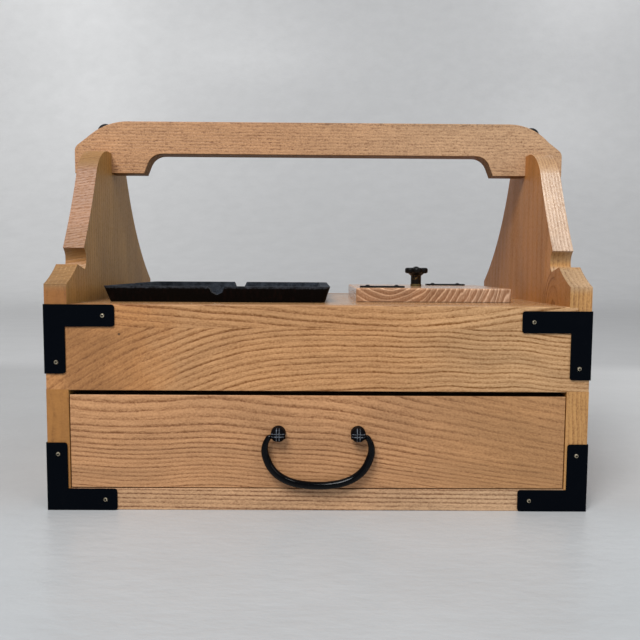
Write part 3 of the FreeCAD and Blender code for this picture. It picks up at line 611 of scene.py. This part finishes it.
def lathe(profile, segments):
    """A turned solid from a profile of radius and height, with its axis on Z."""
    work = bmesh.new()
    points = [work.verts.new((radius, 0, height)) for radius, height in profile]
    lines = [work.edges.new(pair) for pair in zip(points, points[1:])]
    bmesh.ops.spin(work, geom=points + lines, cent=(0, 0, 0), axis=(0, 0, 1), angle=2 * pi,
                   steps=segments, use_merge=True)
    bmesh.ops.remove_doubles(work, verts=work.verts, dist=1e-6)
    bmesh.ops.recalc_face_normals(work, faces=work.faces)
    return work


def move_all(work, matrix):
    """Put a whole bmesh in its place."""
    bmesh.ops.transform(work, matrix=matrix, verts=work.verts)


def cap_profile(radius, height, rim, steps):
    """A domed head: from the middle of its top down to its rim."""
    ball = (radius ** 2 + (height - rim) ** 2) / (2 * (height - rim))
    reach = acos((ball - height + rim) / ball)
    points = [(ball * sin(reach * step / steps), height - ball * (1 - cos(reach * step / steps)))
              for step in range(steps + 1)]
    return points + [(radius, 0)]


nail_black = iron("nail_black", (0.008, 0.009, 0.010), 0.34, 0.16, wear=0.3)
head_radius, head_height, head_rim = 0.0052, 0.0033, 0.0004
shank_radius, shank_length = 0.0013, 0.013
nail_outline = cap_profile(head_radius, head_height, head_rim, steps=10)
nail_outline += [(shank_radius, 0), (shank_radius, -shank_length), (0, -shank_length)]
beam_top, beam_middle_y = 0.2546, -0.0015
shoulder_start, shoulder_run = 0.1390, 0.0290
nail_run = 0.0192
for side, side_name, shoulder_drop in ((-1, "left", 0.0108), (1, "right", 0.0127)):
    radius = hypot(shoulder_run, shoulder_drop) ** 2 / (2 * shoulder_drop)
    lean = atan2(nail_run, sqrt(radius ** 2 - nail_run ** 2))
    seat = (side * (shoulder_start + nail_run), beam_middle_y,
            beam_top - radius + radius * cos(lean))
    work = lathe(nail_outline, segments=32)
    move_all(work, Matrix.Translation(seat) @ Matrix.Rotation(side * lean, 4, "Y"))
    build("dome_nail_" + side_name, work, nail_black, "case", "beam_nail_" + side_name)


# The eight corner brackets: L plates folded round the upright edges from black-painted sheet
# iron, filed round at their free corners. The front right top one was nailed on a little low.
bracket_black = iron("bracket_black", (0.0009, 0.0017, 0.0034), 0.42, 0.03, wear=0.01)
for face in ("front", "back"):
    for side in ("left", "right"):
        for level in ("bottom", "top"):
            softened(f"bracket_{face}_{side}_{level}", "case", bracket_black,
                     width=0.00022, segments=2)


# The bracket nails: small round heads of worn brass, each dented by the hammer, two in each arm
# face of each bracket.
def worn_brass(name, pale, dark):
    """Brass with tarnish in patches."""
    metal = Finish(name)
    x, y, z = metal.place()
    patch = metal.noise(metal.vector(x * 1.4, y * 1.4, z * 1.4), 2.0)
    tarnish = metal.step(patch, 0.42, 0.62)
    shade = metal.blend(tarnish, pale, dark)
    return metal.close(shade, 0.32 + 0.25 * tarnish, metal.bump(patch, 0.0002), metallic=0.9)


nail_brass = worn_brass("nail_brass", (0.70, 0.62, 0.46), (0.20, 0.17, 0.12))
nail_dent = worn_brass("nail_dent", (0.06, 0.05, 0.035), (0.02, 0.017, 0.013))
nail_profile = [(0, 0.00030), (0.0004, 0.00034), (0.00075, 0.00068), (0.0010, 0.00056),
                (0.0014, 0.0), (0.00075, 0.0), (0.00075, -0.006), (0, -0.006)]
dent_radius = 0.0006
case_half_width, case_half_depth, case_top = 0.165, 0.103, 0.1264
sheet = 0.0008
arm_middle, arm_end = 0.0067, 0.035
drops = {(1, "front", 1): 0.0026}


def join_in(group, part):
    """Add one bmesh to another."""
    mesh = bpy.data.meshes.new("part")
    part.to_mesh(mesh)
    part.free()
    group.from_mesh(mesh)
    bpy.data.meshes.remove(mesh)


def driven_nails(name, places, outward):
    """One mesh with a small nail at each place, its head facing outward."""
    facing = Vector((0, 0, 1)).rotation_difference(Vector(outward)).to_matrix().to_4x4()
    group = bmesh.new()
    for place in places:
        nail = lathe(nail_profile, segments=20)
        for facet in nail.faces:
            middle = facet.calc_center_median()
            dented = middle.z > 0 and hypot(middle.x, middle.y) < dent_radius
            facet.material_index = 1 if dented else 0
        move_all(nail, Matrix.Translation(place) @ facing)
        join_in(group, nail)
    heads = build(name + "_driven", group, nail_brass, "case", name)
    heads.data.materials.append(nail_dent)


def bracket_nail_places(side, face_name, across_face):
    """The nails of a corner's two brackets, on the front or back face or on the side face."""
    face = -1 if face_name == "front" else 1
    places = []
    for level in (-1, 1):
        edge = (case_top if level > 0 else 0.0) - drops.get((side, face_name, level), 0.0)
        for inset, drop in ((arm_end, arm_middle), (arm_middle, arm_end)):
            z = edge - level * drop
            if across_face:
                place = (side * (case_half_width - inset), face * (case_half_depth + sheet), z)
            else:
                place = (side * (case_half_width + sheet), face * (case_half_depth - inset), z)
            places.append(place)
    return places


for face_name, face in (("front", -1), ("back", 1)):
    places = bracket_nail_places(-1, face_name, True) + bracket_nail_places(1, face_name, True)
    driven_nails("bracket_nails_" + face_name, places, (0, face, 0))
for side_name, side in (("left", -1), ("right", 1)):
    places = bracket_nail_places(side, "front", False) + bracket_nail_places(side, "back", False)
    driven_nails("bracket_nails_" + side_name, places, (side, 0, 0))


# The drawer: its front is a wide board whose rings hump over the left half and fall away to the
# right. The sides are lapped into the back of it, and the bottom panel slides in grooves.
def drawer_figure(wood, x, y, z):
    spacing = 4.4
    fall = (x + (x * x + 1600).math("SQRT")) * 0.135
    hump = ((x + 63) / 15.9).math("COSINE") * wood.step(x, 30, -30) * 1.3
    height = z + fall * (0.5 + z / 130) - hump
    fine = height - 45.0
    rings = height * 0.155 - 0.13 * ((fine * fine + 225).math("SQRT") - fine)
    loud = 1.0 - 0.5 * wood.step(x, 40, 90)
    return rings - (y + 103) * 0.12, x, y, spacing, loud


def drawer_tint(wood, x, y, z):
    """Browner towards the right end."""
    return wood.stain(wood.step(x, 20, 130), (0.79, 0.78, 0.70))


def drawer_top_gap_shade(wood, x, y, z):
    """Painted shade on the front half of the top edge, where it lies in the dark gap."""
    return wood.stain(wood.step(y, -93, -98), (0.06, 0.055, 0.05))


drawer_wood = timber("drawer_wood", drawer_figure, (0.555, 0.292, 0.136), (0.185, 0.068, 0.018),
                     line=0.88, waver=0.36, tint=drawer_tint, seed=71.0)
face_board = softened("drawer_front", "drawer", drawer_wood, width=0.0005)
# The drawer front's top edge takes painted shade where it sits in the gap under the front board.
drawer_top_wood = timber("drawer_top_wood", plain_along_x, (0.45, 0.24, 0.11), (0.18, 0.08, 0.03),
                         level=0.1, tint=drawer_top_gap_shade, seed=73.0)
second_wood(face_board, drawer_top_wood, lambda face: face.normal.z > 0.9)
softened("drawer_side_left", "drawer", inner_wood_y, width=0.0004)
softened("drawer_side_right", "drawer", inner_wood_y, width=0.0004)
softened("drawer_back", "drawer", inner_wood_x, width=0.0004)
softened("drawer_bottom", "drawer", inner_wood_x, width=0.0003)


# The two pull posts: split iron pins with domed heads, each head filed with a cross. Their legs
# pass through the drawer front and are bent over small washer plates inside it.
def lip_highlight_iron(name, colour, highlight_colour):
    """Blackened iron, with a painted highlight along both lips of each post head's cross cut."""
    post_x, post_z = 24.3, 48.6
    lip = 0.82
    metal = Finish(name)
    x, y, z = metal.place()
    grit = metal.noise(metal.vector(x * 1.6, y * 1.6, z * 1.6), 3.0)
    upright_lips = metal.step(abs(abs(abs(x) - post_x) - lip), 0.34, 0.12)
    level_lips = metal.step(abs(abs(z - post_z) - lip), 0.34, 0.12)
    face = metal.step(y, -108.6, -110.4)
    # Painted highlight where the lips of the cross cut catch the light, on the front faces only.
    wear_and_highlight = upright_lips.math("MAXIMUM", level_lips) * face * metal.step(grit, 0.36, 0.58)
    shade = metal.blend(wear_and_highlight, colour, highlight_colour)
    relief = metal.bump(grit, 0.00018)
    return metal.close(shade, 0.58 - 0.3 * wear_and_highlight, relief, level=0.05)


post_black = lip_highlight_iron("post_black", (0.0012, 0.0012, 0.002), (0.16, 0.175, 0.20))
washer_black = iron("washer_black", (0.006, 0.006, 0.008), 0.45, 0.3, wear=0.3)
for side in ("left", "right"):
    softened("pull_washer_" + side, "drawer", washer_black, width=0.00015, segments=2)
    softened("pull_post_" + side, "drawer", post_black, width=0.00015, segments=2)


# The bail pull: a forged rod, thicker at its sides than at its ends, bent to a wide bow and hung
# by a pin at each end in the two posts. It is lacquered black and rubbed glossy.
bail_black = iron("bail_black", (0.0005, 0.0007, 0.0013), 0.05, 0.14)
bail_y, bail_z = -0.1076, 0.0470
bail_half = [(0.0291, 0.0, 0.0016), (0.0310, 0.0021, 0.0017), (0.0320, 0.0047, 0.0019),
             (0.0323, 0.0090, 0.0022), (0.0310, 0.0139, 0.0024), (0.0281, 0.0195, 0.0024),
             (0.0233, 0.0242, 0.0024), (0.0168, 0.0275, 0.0024), (0.0090, 0.0293, 0.0024)]
rod = bpy.data.curves.new("bail_line", "CURVE")
rod.dimensions = "3D"
rod.bevel_depth = 1.0
rod.bevel_resolution = 9
rod.resolution_u = 10
rod.use_fill_caps = True
line = rod.splines.new("BEZIER")
bail_low = (0.0, 0.0299, 0.0024)
other_half = [(-x, drop, radius) for x, drop, radius in reversed(bail_half)]
stations = bail_half + [bail_low] + other_half
line.bezier_points.add(len(stations) - 1)
for point, (x, drop, radius) in zip(line.bezier_points, stations):
    point.co = (x, bail_y, bail_z - drop)
    point.radius = radius
    point.handle_left_type = point.handle_right_type = "AUTO"
shoulder_reach = Vector((0.0012, 0, 0))
for place in (0, -1):
    shoulder = line.bezier_points[place]
    shoulder.handle_left_type = shoulder.handle_right_type = "FREE"
    shoulder.handle_left = shoulder.co - shoulder_reach
    shoulder.handle_right = shoulder.co + shoulder_reach
form = bpy.data.objects.new("bail_form", rod)
bpy.context.scene.collection.objects.link(form)
bpy.context.view_layer.update()
bow = bpy.data.meshes.new_from_object(form.evaluated_get(bpy.context.evaluated_depsgraph_get()))
bpy.data.objects.remove(form)
pin_radius, pin_length, pin_start = 0.0013, 0.0106, 0.0198
pin_outline = [(0, 0), (0.0010, 0), (pin_radius, 0.0003), (pin_radius, pin_length), (0, pin_length)]
work = bmesh.new()
work.from_mesh(bow)
for side in (-1, 1):
    pin = lathe(pin_outline, segments=24)
    seat = Matrix.Translation((side * pin_start, bail_y, bail_z))
    move_all(pin, seat @ Matrix.Rotation(side * pi / 2, 4, "Y"))
    join_in(work, pin)
build("bail_bow", work, bail_black, "pull", "pull_bail")


# The ashtray: a square cast-iron tray, sand-rough and blackened outside, its rim and inside worn
# to a bluish grey. A cigarette notch is filed in the middle of each side, and the flared walls
# hang in the top board's opening.
def cast_iron():
    """Black outside, and a worn grey on the rim and inside the flared walls."""
    tray_x, top_z = -66.0, 126.4
    wall_flare, bowl_flare = 0.38, 0.07
    metal = Finish("cast_iron")
    x, y, z = metal.place()
    grain = metal.noise(metal.vector(x / 1.1, y / 1.1, z / 1.1), 4.0, 0.7)
    patch = metal.noise(metal.vector(x / 5, y / 5, z / 5), 4.0, 0.65)
    runs = metal.noise(metal.vector(x / 2.2, y / 2.2, z / 14), 2.0)
    off = abs(x - tray_x).math("MAXIMUM", abs(y))
    above = (z - top_z).math("MAXIMUM", 0.0)
    under = (top_z - z).math("MAXIMUM", 0.0)
    inside = metal.step(off - above * wall_flare + under * bowl_flare, 64.6, 64.0)
    rim = metal.step(z + (grain - 0.5) * 2.4, 135.1, 136.0)
    wear_and_painted_light = inside.math("MAXIMUM", rim)
    scuffed = metal.step(patch + (grain - 0.5) * 0.6, 0.30, 0.75)
    streaked = metal.step(runs, 0.5, 0.75)
    outer = metal.blend(streaked, (0.0010, 0.0006, 0.0006), (0.005, 0.002, 0.0018))
    inner = metal.blend(scuffed, (0.016, 0.019, 0.025), (0.056, 0.066, 0.084))
    colour = metal.blend(wear_and_painted_light, outer, inner)
    relief = metal.bump(grain * 0.7 + patch * 0.3, 0.0006)
    return metal.close(colour, 0.5 + 0.2 * wear_and_painted_light, relief, level=0.07)


softened("ashtray", "ashtray", cast_iron(), width=0.0009)


# The lid: a thick slab with its end grain to the front, so that the rings show as bowls and
# slanting stripes. Two battens under it drop into the hatch.
def lid_figure(wood, x, y, z):
    """Rings round a pith over the lid, crowded unevenly at its right."""
    spacing = 3.7
    off_x = x - 46.5
    off_z = z - 158.0
    crowded = (wood.noise(wood.vector(x / 11, 0.0, 0.0), 2.0) - 0.5) * 2.2
    rings = (off_x * off_x + off_z * off_z).math("SQRT") / spacing
    return rings + crowded * wood.step(x, 60, 80), y, x, spacing, 1.0


def lid_edge_light_and_tint(wood, x, y, z):
    """Painted shade along the lower edge, a painted highlight on the upper edge, a pinker right
    end.
    """
    pink = wood.stain(wood.step(x, 72, 118), (1.13, 1.25, 1.42))
    # Painted shade: dark along the lower edge. Painted highlight: pale along the upper edge.
    wear_and_painted_light = 1.0 - 0.65 * wood.step(z, 127.3, 126.6) + 0.22 * wood.step(z, 134.6, 135.8)
    return wood.brighten(pink, wear_and_painted_light)


lid_wood = timber("lid_wood", lid_figure, (0.205, 0.083, 0.030), (0.69, 0.43, 0.26), pores=0.0,
                  fleck=0.7, cloud=1.4, waver=0.8, late_wood=-0.08, gloss=0.36, band_end=0.42,
                  tint=lid_edge_light_and_tint, seed=81.0)
lid_top_wood = timber("lid_top_wood", lid_figure, (0.42, 0.22, 0.11), (0.62, 0.38, 0.23), line=0.7,
                      fleck=0.6, gloss=0.12, level=0.5, seed=82.0)
lid_slab = softened("lid_panel", "lid", lid_wood, width=0.0003, segments=2)
second_wood(lid_slab, lid_top_wood, lambda face: face.normal.z > 0.9 or abs(face.normal.x) > 0.7)
softened("lid_batten_front", "lid", inner_wood_x, width=0.0005)
softened("lid_batten_back", "lid", inner_wood_x, width=0.0005)


# The knob: a five-petalled head on a flared stem, cast in bronze and blackened by handling, over
# a small brass collar.
def handled_bronze():
    """Dark patina, with a painted brown-gold glint on the front of the stem."""
    metal = Finish("knob_bronze")
    x, y, z = metal.place()
    grit = metal.noise(metal.vector(x / 1.3, y / 1.3, z / 1.3), 3.0)
    # A painted glint: brown gold on the front of the stem.
    front_of_stem = metal.step(abs(z - 142.6), 2.0, 0.8) * metal.step(y, -7.0, -8.0)
    wear_and_painted_light = front_of_stem * metal.step(grit, 0.40, 0.60)
    shade = metal.blend(wear_and_painted_light, (0.004, 0.0035, 0.0035), (0.16, 0.095, 0.03))
    return metal.close(shade, 0.30, metal.bump(grit, 0.00015), level=0.16)


knob_bronze = handled_bronze()
softened("lid_knob", "lid", knob_bronze, width=0.0003, segments=2)
collar_brass = worn_brass("collar_brass", (0.20, 0.16, 0.07), (0.09, 0.07, 0.035))
softened("knob_collar", "lid", collar_brass, width=0.0003, segments=2)


# The two small plates on the lid: thin black iron with cut corners, each held by two nails with
# low domed heads.
plate_black = iron("plate_black", (0.005, 0.0055, 0.007), 0.42, 0.12, wear=0.3)
softened("lid_plate_left", "lid", plate_black, width=0.0002, segments=2)
softened("lid_plate_right", "lid", plate_black, width=0.0002, segments=2)
softened("lid_plate_nails", "lid", plate_black, width=0.0002, segments=2)
